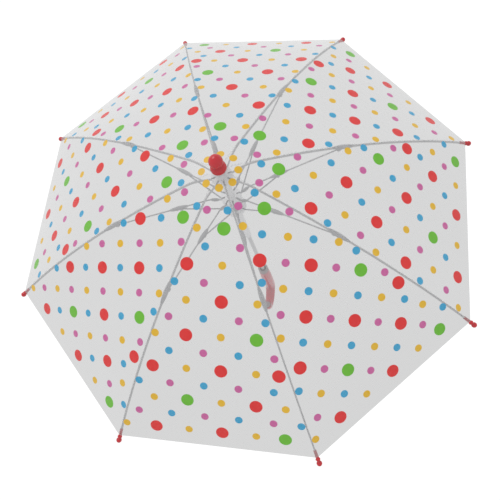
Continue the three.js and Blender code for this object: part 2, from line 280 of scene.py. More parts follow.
def without(shape, cutter):
    """The shape with a cutter's volume taken away."""
    pair = [bpy.data.objects.new("work", rough_mesh(part)) for part in (shape, cutter)]
    for part in pair:
        scene.collection.objects.link(part)
    cut = pair[0].modifiers.new("cut", "BOOLEAN")
    cut.operation, cut.solver, cut.object = "DIFFERENCE", "EXACT", pair[1]
    left = as_shape(evaluated(pair[0]))
    for part in pair:
        bpy.data.objects.remove(part)
    return left


def rod(radius, length, sides):
    """A round rod that stands on its own origin."""
    return turned([(0, 0), (radius, 0), (radius, length), (0, length)], sides)


def ease(a, b, share):
    share = min(max(share, 0.0), 1.0)
    return a + (b - a) * share * share * (3 - 2 * share)


ring = []
for side in (0.0, math.pi):
    ring += [(side - RIDGE_FOOT, 0), (side - RIDGE_TOP, RIDGE)]
    ring += [(side + RIDGE_TOP, RIDGE), (side + RIDGE_FOOT, 0)]
    ring += [(side + math.pi * i / 18, 0) for i in range(1, 18)]
ring.sort()

line, girth = [], []
for i in range(GRIP_STEPS + 1):
    z = HANDLE_TOP + (HOOK_START - HANDLE_TOP) * i / GRIP_STEPS
    line.append((0.0, z))
    down = HANDLE_TOP - z
    wide = ease(NECK_GIRTH, GRIP_GIRTH, (down - CHAMFER) / 40) if down > CHAMFER else TOP_GIRTH + 0.3 * down
    girth.append(ease(wide, BEND_GIRTH, (down - GRIP_END) / 46) if down > GRIP_END else wide)
for i in range(1, TURN_STEPS + 1):
    turn = math.pi * i / TURN_STEPS
    line.append((HOOK_RADIUS * (1 - math.cos(turn)), HOOK_START - HOOK_RADIUS * math.sin(turn)))
    girth.append(BEND_GIRTH + (END_GIRTH - BEND_GIRTH) * i / TURN_STEPS)
line.append((2 * HOOK_RADIUS, HOOK_END))
girth.append(END_GIRTH)
socket = placed(rod(SOCKET_RADIUS, SOCKET_LENGTH, 40), Matrix.Translation((0, 0, SOCKET_BOTTOM)))
facing_back = Matrix.Rotation(-math.pi / 2, 4, "Y")
button_well = placed(rod(BUTTON_HOLE, BUTTON_HOLE_LENGTH, 32),
                     Matrix.Translation((-SHAFT_RADIUS - 0.8, 0, BUTTON_Z)) @ facing_back)
crook = without(without(swept(line, girth, ring), socket), button_well)

red_plastic = finish("red plastic", (0.46, 0.012, 0.02), (0.38, 0.009, 0.016), (0.16, 0.26), grain=1.4,
                     bump=0.06, IOR=1.5)
# The handle is the finial's red plastic, painted lighter and pinker here: painted light for the brighter
# light that falls on the handle.
red_plastic_painted_lighter = finish("handle plastic", (0.56, 0.05, 0.075), (0.5, 0.04, 0.062), (0.14, 0.24), grain=1.4,
                        bump=0.05, IOR=1.52)
piece("handle_crook", crook, red_plastic_painted_lighter, "shaft_and_handle", ["handle"])

dark_plastic = finish("dark plastic", (0.33, 0.285, 0.295), (0.28, 0.24, 0.25), (0.35, 0.5), grain=0.9,
                      bump=0.12)
# How far the plug's outline reaches out of the hook's end, and its radius there.
PLUG = [(0, 7.2), (0.5, 7.2), (1.0, 7.2), (4.5, 6.9), (6.2, 6.2), (7.4, 5.2), (8.3, 3.9), (8.8, 1.9)]
plug_line = [(2 * HOOK_RADIUS, HOOK_END + out) for out, _ in PLUG]
round_ring = [(math.tau * i / 40, 0) for i in range(40)]
piece("hook_plug", swept(plug_line, [radius for _, radius in PLUG], round_ring), dark_plastic,
      "shaft_and_handle")

# --------------------------------------
# Handle collar. A grey plastic ring pushed on to the top of the handle. Three
# turned grooves give it a grip, and its bore lets the slider pass.
# --------------------------------------
COLLAR_LOW, COLLAR_HIGH, COLLAR_RADIUS = -484.0, -468.0, 10.5
GROOVES, FIRST_GROOVE, GROOVE_PITCH, GROOVE_DEPTH = 3, 3.4, 3.6, 0.6
collar = [(SOCKET_RADIUS, COLLAR_LOW), (COLLAR_RADIUS - 0.3, COLLAR_LOW), (COLLAR_RADIUS, COLLAR_LOW + 0.3)]
for i in range(GROOVES):
    z, bottom = COLLAR_LOW + FIRST_GROOVE + GROOVE_PITCH * i, COLLAR_RADIUS - GROOVE_DEPTH
    collar += [(COLLAR_RADIUS, z - 0.75), (bottom, z - 0.35), (bottom, z + 0.35), (COLLAR_RADIUS, z + 0.75)]
collar += [(COLLAR_RADIUS, COLLAR_HIGH - 1.6), (COLLAR_RADIUS - 0.4, COLLAR_HIGH - 0.6),
           (COLLAR_RADIUS - 1.3, COLLAR_HIGH), (SOCKET_RADIUS + 0.7, COLLAR_HIGH),
           (SOCKET_RADIUS, COLLAR_HIGH - 0.7)]
piece("handle_collar_ring", turned(collar, sides=56, loop=True), dark_plastic, "shaft_and_handle",
      ["handle_collar"], smooth=50)

# --------------------------------------
# Release button. A small grey push button in the back of the handle, moulded
# with a dished face. Pressing it lets the runner go.
# --------------------------------------
BUTTON_RADIUS, BUTTON_FOOT = 4.0, -8.2
button = turned([(0, 0), (BUTTON_RADIUS, 0), (BUTTON_RADIUS, 4.6), (BUTTON_RADIUS - 0.25, 5.3),
                 (BUTTON_RADIUS - 0.8, 5.7), (BUTTON_RADIUS - 1.3, 5.6), (1.4, 5.2), (0, 5.1)], sides=32)
piece("release_button_cap", placed(button, Matrix.Translation((BUTTON_FOOT, 0, BUTTON_Z)) @ facing_back),
      dark_plastic, "release_button", ["release_button"])

# --------------------------------------
# Notch. The fixed upper hub, moulded in pale plastic and pinned to the shaft
# under the crown. Eight slots hold the ribs' inner ends, threaded on a wire.
# --------------------------------------
ARMS = 8
FIRST_ARM = 202.5  # degrees; the arms are numbered clockwise from above
HUB_RADIUS = 15.5
PIN_CIRCLE = 12.5
NOTCH_Z, NOTCH_HALF = -24.0, 5  # the height of its wire, and half of the hub's own height
SLOT_WIDTH = 2.4
BORE = SHAFT_RADIUS + 0.3
WIRE = 0.6
pale_plastic = finish("pale plastic", (0.86, 0.86, 0.87), (0.8, 0.8, 0.81), (0.32, 0.46), grain=1.1,
                      bump=0.08)
ring_wire = finish("plated wire", (0.55, 0.55, 0.56), (0.42, 0.42, 0.44), (0.22, 0.34), grain=0.7, bump=0.08,
                   Metallic=0.85)


def new_tree(name, *inputs):
    """A Geometry Nodes tree, its inputs' sockets, and a function that adds a node to it.

    An input is a label, for a plain number, or a label and a kind of socket.
    """
    tree = bpy.data.node_groups.new(name, "GeometryNodeTree")
    tree.interface.new_socket("Geometry", in_out="INPUT", socket_type="NodeSocketGeometry")
    for entry in inputs:
        label, kind = (entry, "Float") if isinstance(entry, str) else entry
        tree.interface.new_socket(label, in_out="INPUT", socket_type="NodeSocket" + kind)
    tree.interface.new_socket("Geometry", in_out="OUTPUT", socket_type="NodeSocketGeometry")
    given = tree.nodes.new("NodeGroupInput").outputs

    def add(kind, feeds=(), **settings):
        made = tree.nodes.new(kind)
        for key, value in settings.items():
            setattr(made, key, value)
        for socket, feed in dict(feeds).items():
            if isinstance(feed, bpy.types.NodeSocket):
                tree.links.new(feed, made.inputs[socket])
            else:
                made.inputs[socket].default_value = feed
        return made.outputs[0]

    return tree, given, add


def end_tree(tree, geometry):
    tree.links.new(geometry, tree.nodes.new("NodeGroupOutput").inputs[0])


def end_dressed(tree, add, geometry, material):
    """The end of a tree whose result is all of one material."""
    whole = add("GeometryNodeRealizeInstances", {"Geometry": geometry})
    end_tree(tree, add("GeometryNodeSetMaterial", {"Geometry": whole, "Material": material}))


def grown(tree, mesh, **values):
    """The plain mesh that a tree makes from a mesh, with its named inputs set."""
    carrier = bpy.data.objects.new("carrier", mesh)
    scene.collection.objects.link(carrier)
    modifier = carrier.modifiers.new("nodes", "NODES")
    modifier.node_group = tree
    for item in tree.interface.items_tree:
        label = item.name.replace(" ", "_").lower()
        if item.in_out == "INPUT" and label in values:
            modifier[item.identifier] = values[label]
    made = evaluated(carrier)
    bpy.data.objects.remove(carrier)
    return made


slots, given, add = new_tree("slots round a hub", ("Arms", "Int"), "First arm", "Slot width", "Slot length",
                             "Slot centre", "Height", "Depth", ("Material", "Material"))
spots = add("GeometryNodeMeshCircle", {"Vertices": given["Arms"], "Radius": given["Slot centre"]})
size = add("ShaderNodeCombineXYZ", {"X": given["Slot length"], "Y": given["Slot width"], "Z": given["Depth"]})
blade = add("GeometryNodeMeshCube", {"Size": size})
facing = add("FunctionNodeAlignRotationToVector", {"Vector": add("GeometryNodeInputPosition")}, axis="X")
blades = add("GeometryNodeInstanceOnPoints", {"Points": spots, "Instance": blade, "Rotation": facing})
blades = add("GeometryNodeRealizeInstances", {"Geometry": blades})
shift = add("ShaderNodeCombineXYZ", {"Z": given["Height"]})
spin = add("ShaderNodeCombineXYZ", {"Z": given["First arm"]})
blades = add("GeometryNodeTransform", {"Geometry": blades, "Translation": shift, "Rotation": spin})
slotted = add("GeometryNodeMeshBoolean", {"Mesh 1": given["Geometry"], "Mesh 2": blades},
              operation="DIFFERENCE")
end_dressed(slots, add, slotted, given["Material"])


def hub(outline, z, depth, width, centre=13.4, length=9.0, sides=64):
    """A turned hub with a slot for each arm. The slots are centred on height z and are this deep in all."""
    return as_shape(grown(slots, rough_mesh(turned(outline, sides, loop=True)), arms=ARMS,
                          first_arm=math.radians(FIRST_ARM), slot_width=width, slot_length=length,
                          slot_centre=centre, height=z, depth=depth, material=pale_plastic))


def hub_rim(z, half):
    """The rim of a hub, with a groove at the height of its ring of wire."""
    low, high = z - half, z + half
    return [(HUB_RADIUS - 0.9, low), (HUB_RADIUS - 0.25, low + 0.25), (HUB_RADIUS, low + 0.9),
            (HUB_RADIUS, z - 1.0), (HUB_RADIUS - 0.55, z - 0.6), (HUB_RADIUS - 0.55, z + 0.6),
            (HUB_RADIUS, z + 1.0), (HUB_RADIUS, high - 0.9), (HUB_RADIUS - 0.25, high - 0.25),
            (HUB_RADIUS - 0.9, high)]


notch = hub([(BORE, NOTCH_Z - NOTCH_HALF), *hub_rim(NOTCH_Z, NOTCH_HALF), (8.0, NOTCH_Z + NOTCH_HALF),
             (6.8, NOTCH_Z + 5.6), (6.4, NOTCH_Z + 6.8), (6.4, -3.0), (5.8, -2.2), (BORE, -2.2)],
            NOTCH_Z, depth=12, width=SLOT_WIDTH)
piece("notch_hub", notch, pale_plastic, "shaft_and_handle", ["notch"])

loops, given, add = new_tree("ring of wire", "Ring radius", "Wire radius", "Height",
                             ("Material", "Material"))
circle = add("GeometryNodeCurvePrimitiveCircle", {"Resolution": 72, "Radius": given["Ring radius"]})
section = add("GeometryNodeCurvePrimitiveCircle", {"Resolution": 10, "Radius": given["Wire radius"]})
round_wire = add("GeometryNodeCurveToMesh", {"Curve": circle, "Profile Curve": section})
lift = add("ShaderNodeCombineXYZ", {"Z": given["Height"]})
round_wire = add("GeometryNodeTransform", {"Geometry": round_wire, "Translation": lift})
end_dressed(loops, add, round_wire, given["Material"])


def wire_ring(radius, z):
    return as_shape(grown(loops, bpy.data.meshes.new("work"), ring_radius=radius, wire_radius=WIRE, height=z,
                          material=ring_wire))


piece("notch_wire", wire_ring(PIN_CIRCLE, NOTCH_Z), ring_wire, "shaft_and_handle", ["notch_ring"])

# --------------------------------------
# Finial. A ball on a low dome, moulded in the same red plastic as the handle
# and pressed into the top of the shaft. Its dome holds the film down.
# --------------------------------------
BALL_RADIUS, BALL_Z = 10.0, 21.2
DOME_RADIUS, DOME_FOOT, DOME_RISE = 11.5, 3.2, 10.4


def ball(radius, z, steps):
    """The outline of a ball that stands on a neck, up to its top."""
    turns = [math.radians(-62 + 152 * i / steps) for i in range(steps)]
    return [(radius * math.cos(t), z + radius * math.sin(t)) for t in turns] + [(0, z + radius)]


finial = [(0, -1.5), (2.7, -1.5), (2.7, 1.6), (10.9, 1.6), (11.45, 2.1), (DOME_RADIUS, DOME_FOOT)]
for i in range(1, 11):
    t = math.radians(72) * i / 10
    finial.append((DOME_RADIUS * math.cos(t), DOME_FOOT + DOME_RISE * math.sin(t)))
finial += ball(BALL_RADIUS, BALL_Z, steps=20)
piece("finial_knob", turned(finial, sides=56), red_plastic, "shaft_and_handle", ["finial"])

# --------------------------------------
# Runner. The hub that carries the stretchers, with a long pale plastic sleeve
# above it. A wire through its rim holds the stretchers' inner ends.
# --------------------------------------
TIP_RADIUS = 391.5  # from the shaft's middle to a corner of the film
HALF_GORE = math.pi / ARMS
CROWN_SLOPE, RIM_SLOPE = math.radians(12), math.radians(40.77)
ARC = TIP_RADIUS * math.cos(HALF_GORE) / (math.sin(RIM_SLOPE) - math.sin(CROWN_SLOPE))
RIB_DROP = 3.0  # from the film down to the line that the joints hang from


def film_slope(middle):
    return math.asin(math.sin(CROWN_SLOPE) + middle / ARC)


def film_height(middle):
    """Height of a gore at this distance from the shaft, along the gore's middle line."""
    return -ARC * (math.cos(CROWN_SLOPE) - math.cos(film_slope(middle)))


def rib_height(r, drop=RIB_DROP):
    middle = r * math.cos(HALF_GORE)
    return film_height(middle) - drop / math.cos(film_slope(middle))


JOINT_R = 172.0  # where the stretchers meet the ribs
JOINT_PIN = (JOINT_R, rib_height(JOINT_R) - 4.0)
RUNNER_Z, RUNNER_HALF = 2 * JOINT_PIN[1] - NOTCH_Z, 6
SLEEVE_RADIUS = 5.8
SLEEVE_TOP, SLEEVE_LIP = RUNNER_Z + 48, SLEEVE_RADIUS + 0.5
runner = hub([(BORE, RUNNER_Z - RUNNER_HALF), *hub_rim(RUNNER_Z, RUNNER_HALF), (7.6, RUNNER_Z + RUNNER_HALF),
              (6.3, RUNNER_Z + 6.7), (SLEEVE_RADIUS, RUNNER_Z + 8), (SLEEVE_RADIUS, SLEEVE_TOP - 1.6),
              (SLEEVE_LIP, SLEEVE_TOP - 1.2), (SLEEVE_LIP, SLEEVE_TOP - 0.4), (SLEEVE_RADIUS, SLEEVE_TOP),
              (BORE, SLEEVE_TOP)], RUNNER_Z, depth=14, width=SLOT_WIDTH)
piece("runner_hub", runner, pale_plastic, "runner", ["runner"])
piece("runner_wire", wire_ring(PIN_CIRCLE, RUNNER_Z), ring_wire, "runner", ["runner_ring"])

# --------------------------------------
# Slider. A second pale plastic hub on a longer sleeve below the runner. The
# struts' lower ends sit in its slots, and the spring sits in its bore.
# --------------------------------------
SLIDER_Z, SLIDER_HALF = -127.0, 5
SLIDER_CIRCLE = 14.5  # where the struts' lower eyes lie
SLIDER_RADIUS = SLIDER_CIRCLE + 3
SEAT_Z = SLIDER_Z - 30  # the step that the spring stands on
SPRING_BORE = 5.3
SLEEVE_BOTTOM = -260.0
# The rim's rounded edge, as radii and distances from the hub's middle.
slider_rim = [(SLIDER_RADIUS - 1.2, SLIDER_HALF), (SLIDER_RADIUS - 0.3, 4.6), (SLIDER_RADIUS, 3.8)]
slider = hub([(SPRING_BORE, SEAT_Z), (BORE, SEAT_Z), (BORE, SLEEVE_BOTTOM),
              (SLEEVE_RADIUS - 0.5, SLEEVE_BOTTOM), (SLEEVE_RADIUS, SLEEVE_BOTTOM + 0.5),
              (SLEEVE_RADIUS, SLIDER_Z - 9), (6.4, SLIDER_Z - 7), (8.5, SLIDER_Z - 5.7),
              *[(r, SLIDER_Z - away) for r, away in slider_rim],
              *[(r, SLIDER_Z + away) for r, away in reversed(slider_rim)],
              (SPRING_BORE + 0.5, SLIDER_Z + SLIDER_HALF), (SPRING_BORE, SLIDER_Z + 4.5)],
             SLIDER_Z, depth=12, width=2.2, centre=12.8, length=11.0)
piece("slider_hub", slider, pale_plastic, "slider", ["slider"])

# --------------------------------------
# Opening spring. Round steel wire wound round the shaft between the runner
# and the seat inside the slider.
# --------------------------------------
SPRING_RADIUS, SPRING_WIRE, SPRING_TURNS, SPRING_PLAY = 4.6, 0.5, 10, 0.3
spring_low = SEAT_Z + SPRING_PLAY + SPRING_WIRE
spring_high = RUNNER_Z - RUNNER_HALF - SPRING_PLAY - SPRING_WIRE

coils, given, add = new_tree("wound spring", "Turns", "Coil radius", "Wire radius", "Length", "Height",
                             ("Material", "Material"))
spiral = add("GeometryNodeCurveSpiral", {
    "Resolution": 28, "Rotations": given["Turns"], "Start Radius": given["Coil radius"],
    "End Radius": given["Coil radius"], "Height": given["Length"]})
section = add("GeometryNodeCurvePrimitiveCircle", {"Resolution": 8, "Radius": given["Wire radius"]})
coil = add("GeometryNodeCurveToMesh", {"Curve": spiral, "Profile Curve": section, "Fill Caps": True})
lift = add("ShaderNodeCombineXYZ", {"Z": given["Height"]})
coil = add("GeometryNodeTransform", {"Geometry": coil, "Translation": lift})
end_dressed(coils, add, coil, given["Material"])
coil = as_shape(grown(coils, bpy.data.meshes.new("work"), turns=float(SPRING_TURNS),
                      coil_radius=SPRING_RADIUS, wire_radius=SPRING_WIRE, length=spring_high - spring_low,
                      height=spring_low, material=ring_wire))
spring = piece("opening_spring_coil", coil, ring_wire, "runner", ["opening_spring"])
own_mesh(spring)

# --------------------------------------
# Ribs. Eight channels rolled from thin steel strip and painted light grey,
# bent to the curve of the dome. A flat tongue at the inner end is pierced for
# the notch's wire.
# --------------------------------------
CHANNEL_DROP = 2.6  # from the film down to the middle of the channel
CURVE_START, RIB_END, RIB_STEPS = 56, TIP_RADIUS - 3, 40
rib_paint = finish("rib paint", (0.52, 0.52, 0.52), (0.46, 0.46, 0.47), (0.3, 0.44), grain=1.6, bump=0.02,
                   Metallic=0.1)

drawn, given, add = new_tree("strip along a line", ("Section", "Object"), ("Material", "Material"))
line_curve = add("GeometryNodeMeshToCurve", {"Mesh": given["Geometry"]})
line_curve = add("GeometryNodeSetCurveNormal", {"Curve": line_curve}, mode="Z_UP")
girth_read = add("GeometryNodeInputNamedAttribute", {"Name": "girth"}, data_type="FLOAT")
line_curve = add("GeometryNodeSetCurveRadius", {"Curve": line_curve, "Radius": girth_read})
section_read = drawn.nodes.new("GeometryNodeObjectInfo")
drawn.links.new(given["Section"], section_read.inputs["Object"])
outline_curve = add("GeometryNodeMeshToCurve", {"Mesh": section_read.outputs["Geometry"]})
strip = add("GeometryNodeCurveToMesh", {"Curve": line_curve, "Profile Curve": outline_curve,
                                        "Fill Caps": True})
end_dressed(drawn, add, strip, given["Material"])


def strip_along(path, section, material, girth=None):
    """A strip of this section along a path of (x, z) points. A section's x is sideways and its y is up."""
    flat = bpy.data.meshes.new("section")
    flat.from_pydata([(x, -y, 0) for x, y in section],  # the curve's Z-up frame turns a section over
                     [(i, (i + 1) % len(section)) for i in range(len(section))], [])
    holder = bpy.data.objects.new("section", flat)
    scene.collection.objects.link(holder)
    route = bpy.data.meshes.new("route")
    route.from_pydata([(x, 0, z) for x, z in path], [(i, i + 1) for i in range(len(path) - 1)], [])
    girths = route.attributes.new("girth", "FLOAT", "POINT")
    girths.data.foreach_set("value", girth or [1.0] * len(path))
    made = as_shape(grown(drawn, route, section=holder, material=material))
    bpy.data.objects.remove(holder)
    return made


def sideways_pin(x, z):
    """The place of a turned shape whose axis runs across an arm."""
    return Matrix.Translation((x, 0, z)) @ Matrix.Rotation(math.pi / 2, 4, "X")


def plate_eye(x, z, outer, inner, width):
    """A round flat eye whose hole runs sideways."""
    outline = [(inner, -width / 2), (outer, -width / 2), (outer, width / 2), (inner, width / 2)]
    return placed(turned(outline, sides=24, loop=True), sideways_pin(x, z))


def arm_turn(k):
    return Matrix.Rotation(math.radians(FIRST_ARM - 360 / ARMS * (k - 1)), 4, "Z")


# Across the rolled channel and the flat tongue, both about the rib's own middle.
CHANNEL = [(-1.2, -1.35), (-1.2, 0.55), (-0.9, 1.1), (-0.35, 1.35), (0.35, 1.35), (0.9, 1.1), (1.2, 0.55),
           (1.2, -1.35), (0.85, -1.35), (0.85, 0.4), (0.6, 0.78), (0.2, 0.92), (-0.2, 0.92), (-0.6, 0.78),
           (-0.85, 0.4), (-0.85, -1.35)]
TONGUE = [(-0.8, -1.2), (-0.8, 1.2), (0.8, 1.2), (0.8, -1.2)]
tongue_path = [(PIN_CIRCLE + 1.2, NOTCH_Z + 0.7), (PIN_CIRCLE + 5, NOTCH_Z + 3.2), (22.5, -18.4), (30, -15.4),
               (38, -12.9), (48, -12.6)]
channel_path = [(27, -16.5), (31, -15.1), (36, -13.7), (42, -12.9), (50, rib_height(50, CHANNEL_DROP))]
for i in range(RIB_STEPS + 1):
    r = CURVE_START + (RIB_END - CURVE_START) * i / RIB_STEPS
    channel_path.append((r, rib_height(r, CHANNEL_DROP)))
one_rib = joined(
    strip_along(channel_path, CHANNEL, rib_paint),
    strip_along(tongue_path, TONGUE, rib_paint),
    plate_eye(PIN_CIRCLE, NOTCH_Z, 2.7, WIRE + 0.25, 1.6),
)
for k in range(1, ARMS + 1):
    piece(f"rib_{k}_channel", placed(one_rib, arm_turn(k)), rib_paint, f"rib_{k}", [f"rib_{k}"])

# --------------------------------------
# Rib joints. A grey plastic shoe is clinched round each rib, thick in its
# middle and drawn to a point at both ends. Two ears below it hold the rivet
# that the stretcher's outer end turns on.
# --------------------------------------
SHOE_ROWS, SHOE_SIDES = 16, 20
POINT_WIDE, POINT_TALL = 0.36, 0.5  # the size of a shoe's ends, as shares of its middle
grey_plastic = finish("grey plastic", (0.42, 0.42, 0.43), (0.35, 0.35, 0.36), (0.36, 0.5), grain=1.0,
                      bump=0.1)
steel = finish("plated steel", (0.52, 0.52, 0.53), (0.44, 0.44, 0.45), (0.26, 0.4), grain=0.8, bump=0.08,
               wear=(0.25, 0.25, 0.25), Metallic=0.6)


def shoe(length, wide, tall, start, low):
    """A spindle-shaped shoe along X, with a round back and a flat underside at height low."""
    points = []
    for i in range(SHOE_ROWS + 1):
        share = i / SHOE_ROWS
        swell = math.sin(math.pi * share) ** 0.75 if 0 < share < 1 else 0.0
        w = wide * (POINT_WIDE + (1 - POINT_WIDE) * swell) / 2
        h = tall * (POINT_TALL + (1 - POINT_TALL) * swell) / 2
        for j in range(SHOE_SIDES):
            t = math.tau * j / SHOE_SIDES
            y = w * math.copysign(abs(math.cos(t)) ** 0.8, math.cos(t))
            z = h * math.copysign(abs(math.sin(t)) ** 0.8, math.sin(t))
            points.append((start + length * share, y, max(z, low)))
    n = SHOE_SIDES
    faces = [(n * i + j, n * i + (j + 1) % n, n * (i + 1) + (j + 1) % n, n * (i + 1) + j)
             for i in range(SHOE_ROWS) for j in range(n)]
    return points, faces + [tuple(range(n)), tuple(range(n * SHOE_ROWS, n * SHOE_ROWS + n))]


def rivet(pin, radius, half_span):
    """A round rivet through a pin's place, with low domed heads."""
    outline = [(0, -half_span - 0.5), (radius + 0.35, -half_span - 0.35), (radius + 0.7, -half_span),
               (radius, -half_span), (radius, half_span), (radius + 0.7, half_span),
               (radius + 0.35, half_span + 0.35), (0, half_span + 0.5)]
    return placed(turned(outline, sides=16), sideways_pin(*pin))


def ears(pin, radius, apart, thick, reach):
    """Two flat ears round a pin, carried up by this reach (x, z) into their shoe."""
    (x, z), (dx, dz) = pin, reach
    away = math.hypot(dx, dz)
    ux, uz = dx / away, dz / away
    outline = []
    for i in range(13):
        cosine, sine = math.cos(math.pi * i / 12), math.sin(math.pi * i / 12)
        outline.append((x + radius * (cosine * uz - sine * ux), z - radius * (cosine * ux + sine * uz)))
    outline += [(x + dx - radius * uz, z + dz + radius * ux), (x + dx + radius * uz, z + dz - radius * ux)]
    n = len(outline)
    faces = [(i, (i + 1) % n, n + (i + 1) % n, n + i) for i in range(n)]
    faces += [tuple(range(n)), tuple(range(n, 2 * n))]
    pair = []
    for middle in (-apart, apart):
        sides = (middle - thick / 2, middle + thick / 2)
        pair.append(([(px, y, pz) for y in sides for px, pz in outline], faces))
    return joined(*pair)


joint_slope = math.atan((rib_height(JOINT_R + 8) - rib_height(JOINT_R - 8)) / 16)
joint_place = Matrix.Translation((JOINT_R, 0, rib_height(JOINT_R, CHANNEL_DROP)))
one_joint = joined(
    placed(shoe(36, 7.0, 4.6, start=-11, low=-1.9), joint_place @ Matrix.Rotation(-joint_slope, 4, "Y")),
    ears(JOINT_PIN, 3.1, apart=1.8, thick=1.0, reach=(1.2, 3.6)),
)
joint_rivet = rivet(JOINT_PIN, 0.75, 2.3)
for k in range(1, ARMS + 1):
    piece(f"rib_{k}_joint_shoe", placed(one_joint, arm_turn(k)), grey_plastic, f"rib_{k}",
          [f"rib_joint_{k}"])
    piece(f"rib_{k}_joint_rivet", placed(joint_rivet, arm_turn(k)), steel, f"rib_{k}")

# --------------------------------------
# Tips. A red plastic ball on a flared ferrule, pushed on to the end of each
# rib and through the corner of the film.
# --------------------------------------
tip_slope = math.atan((rib_height(TIP_RADIUS) - rib_height(TIP_RADIUS - 10)) / 10)
tip_outline = [(0, -13), (1.9, -13), (2.3, -12.4), (2.35, 0.2), (2.9, 1.6), (3.5, 2.8), (3.6, 3.5),
               (3.3, 4.1), (2.2, 4.8), (1.9, 5.6), (1.9, 6.6), *ball(4.2, 10.9, steps=12)]
TIP_START = TIP_RADIUS - 0.5
tip_at = (Matrix.Translation((TIP_START, 0, rib_height(TIP_START, CHANNEL_DROP)))
          @ Matrix.Rotation(math.pi / 2 - tip_slope, 4, "Y"))
one_tip = placed(turned(tip_outline, sides=28), tip_at)
for k in range(1, ARMS + 1):
    piece(f"tip_{k}_ball", placed(one_tip, arm_turn(k)), red_plastic, f"rib_{k}", [f"tip_{k}"])

# --------------------------------------
# Stretchers. Plated steel arms, cranked near the runner and thinner past the
# middle clevis. Their ends are flattened and pierced, and a grey plastic shoe
# is clinched on by the runner and at the clevis.
# --------------------------------------
KNEE = (31.0, -79.0)
CLEVIS_R, CLEVIS_DROP = 76.0, 4.2
beam_slope = (JOINT_PIN[1] - KNEE[1]) / (JOINT_PIN[0] - KNEE[0])
beam_angle = math.atan(beam_slope)


def beam(r):
    return r, KNEE[1] + (r - KNEE[0]) * beam_slope


def crank(out):
    """A point of the cranked end, this far out from the runner's wire."""
    return PIN_CIRCLE + out, RUNNER_Z + out * knee_slope


CLEVIS_PIN = (CLEVIS_R + CLEVIS_DROP * math.sin(beam_angle),
              beam(CLEVIS_R)[1] - CLEVIS_DROP * math.cos(beam_angle))
knee_slope = (KNEE[1] - RUNNER_Z) / (KNEE[0] - PIN_CIRCLE)
ROUND = [(math.cos(math.tau * i / 12), math.sin(math.tau * i / 12)) for i in range(12)]
inner_path = [crank(1.4), crank(4.5), crank(7.5), crank(14),
              (KNEE[0] - 1.6, KNEE[1] - 1.6 * knee_slope), (KNEE[0] + 2.4, KNEE[1] + 2.4 * beam_slope + 0.1),
              beam(40), beam(52), beam(CLEVIS_R)]
outer_path = [beam(r) for r in (CLEVIS_R - 6, 100, 130, JOINT_R - 12, JOINT_R - 6, JOINT_R - 1.3)]
one_stretcher = joined(
    strip_along(inner_path, ROUND, steel, girth=[0.8, 0.85, 1.4, 1.9, 1.9, 1.9, 1.9, 1.75, 1.7]),
    strip_along(outer_path, ROUND, steel, girth=[1.45, 1.45, 1.45, 1.45, 1.1, 0.78]),
    plate_eye(PIN_CIRCLE, RUNNER_Z, 2.7, WIRE + 0.25, 1.6),
    plate_eye(*JOINT_PIN, 1.9, 1.05, 1.6),
)
crank_place = Matrix.Translation((PIN_CIRCLE, 0, RUNNER_Z)) @ Matrix.Rotation(-math.atan(knee_slope), 4, "Y")
clevis_place = Matrix.Translation((CLEVIS_R, 0, beam(CLEVIS_R)[1])) @ Matrix.Rotation(-beam_angle, 4, "Y")
one_clevis = joined(
    placed(shoe(15, 5.4, 3.6, start=7.4, low=-1.8), crank_place),
    placed(shoe(28, 6.4, 4.8, start=-11, low=-2.2), clevis_place),
    ears(CLEVIS_PIN, 2.3, apart=1.55, thick=0.9, reach=(-0.6, 3.4)),
)
clevis_rivet = rivet(CLEVIS_PIN, 0.7, 2.0)
for k in range(1, ARMS + 1):
    turn, body = arm_turn(k), f"stretcher_{k}"
    piece(f"stretcher_{k}_arm", placed(one_stretcher, turn), steel, body,
          [f"stretcher_{k}"])
    piece(f"stretcher_{k}_clevis", placed(one_clevis, turn), grey_plastic, body)
    piece(f"stretcher_{k}_rivet", placed(clevis_rivet, turn), steel, body)

# --------------------------------------
# Struts. Thin steel wires from the middle clevises down to the slider, each
# with a small flattened eye at both ends.
# --------------------------------------
strut_low = (SLIDER_CIRCLE, SLIDER_Z)
strut_path = [tuple(a + (b - a) * share for a, b in zip(strut_low, CLEVIS_PIN))
              for share in (0.016, 0.05, 0.5, 0.95, 0.984)]
one_strut = joined(
    strip_along(strut_path, ROUND, ring_wire, girth=[0.7, 0.8, 0.8, 0.8, 0.7]),
    plate_eye(*CLEVIS_PIN, 1.7, 1.0, 1.4),
    plate_eye(*strut_low, 1.5, 0.45, 1.4),
)
for k in range(1, ARMS + 1):
    piece(f"strut_{k}_wire", placed(one_strut, arm_turn(k)), ring_wire, f"strut_{k}", [f"strut_{k}"])

# --------------------------------------
# Canopy film. Eight gores of clear, faintly milky plastic film, welded along
# the ribs and stretched so that each bends one way only. Each gore is made as
# two halves, and each half rides on its own rib.
# --------------------------------------
PATCH = 15.0  # the film inside this radius stays with the crown
GORE_LENGTH = ARC * (RIM_SLOPE - CROWN_SLOPE)
ROWS, COLUMNS, AREA_STEPS = 40, 14, 400
film = finish("clear film", (0.264, 0.266, 0.268), (0.252, 0.254, 0.257), (0.24, 0.32), grain=9.0, bump=0.01,
              Alpha=0.54, IOR=1.48)


def from_middle(s):
    """Distance from the shaft of the gore's middle line at arc length s from the crown."""
    return ARC * (math.sin(CROWN_SLOPE + s / ARC) - math.sin(CROWN_SLOPE))


def half_width(s):
    return from_middle(s) * math.tan(HALF_GORE)


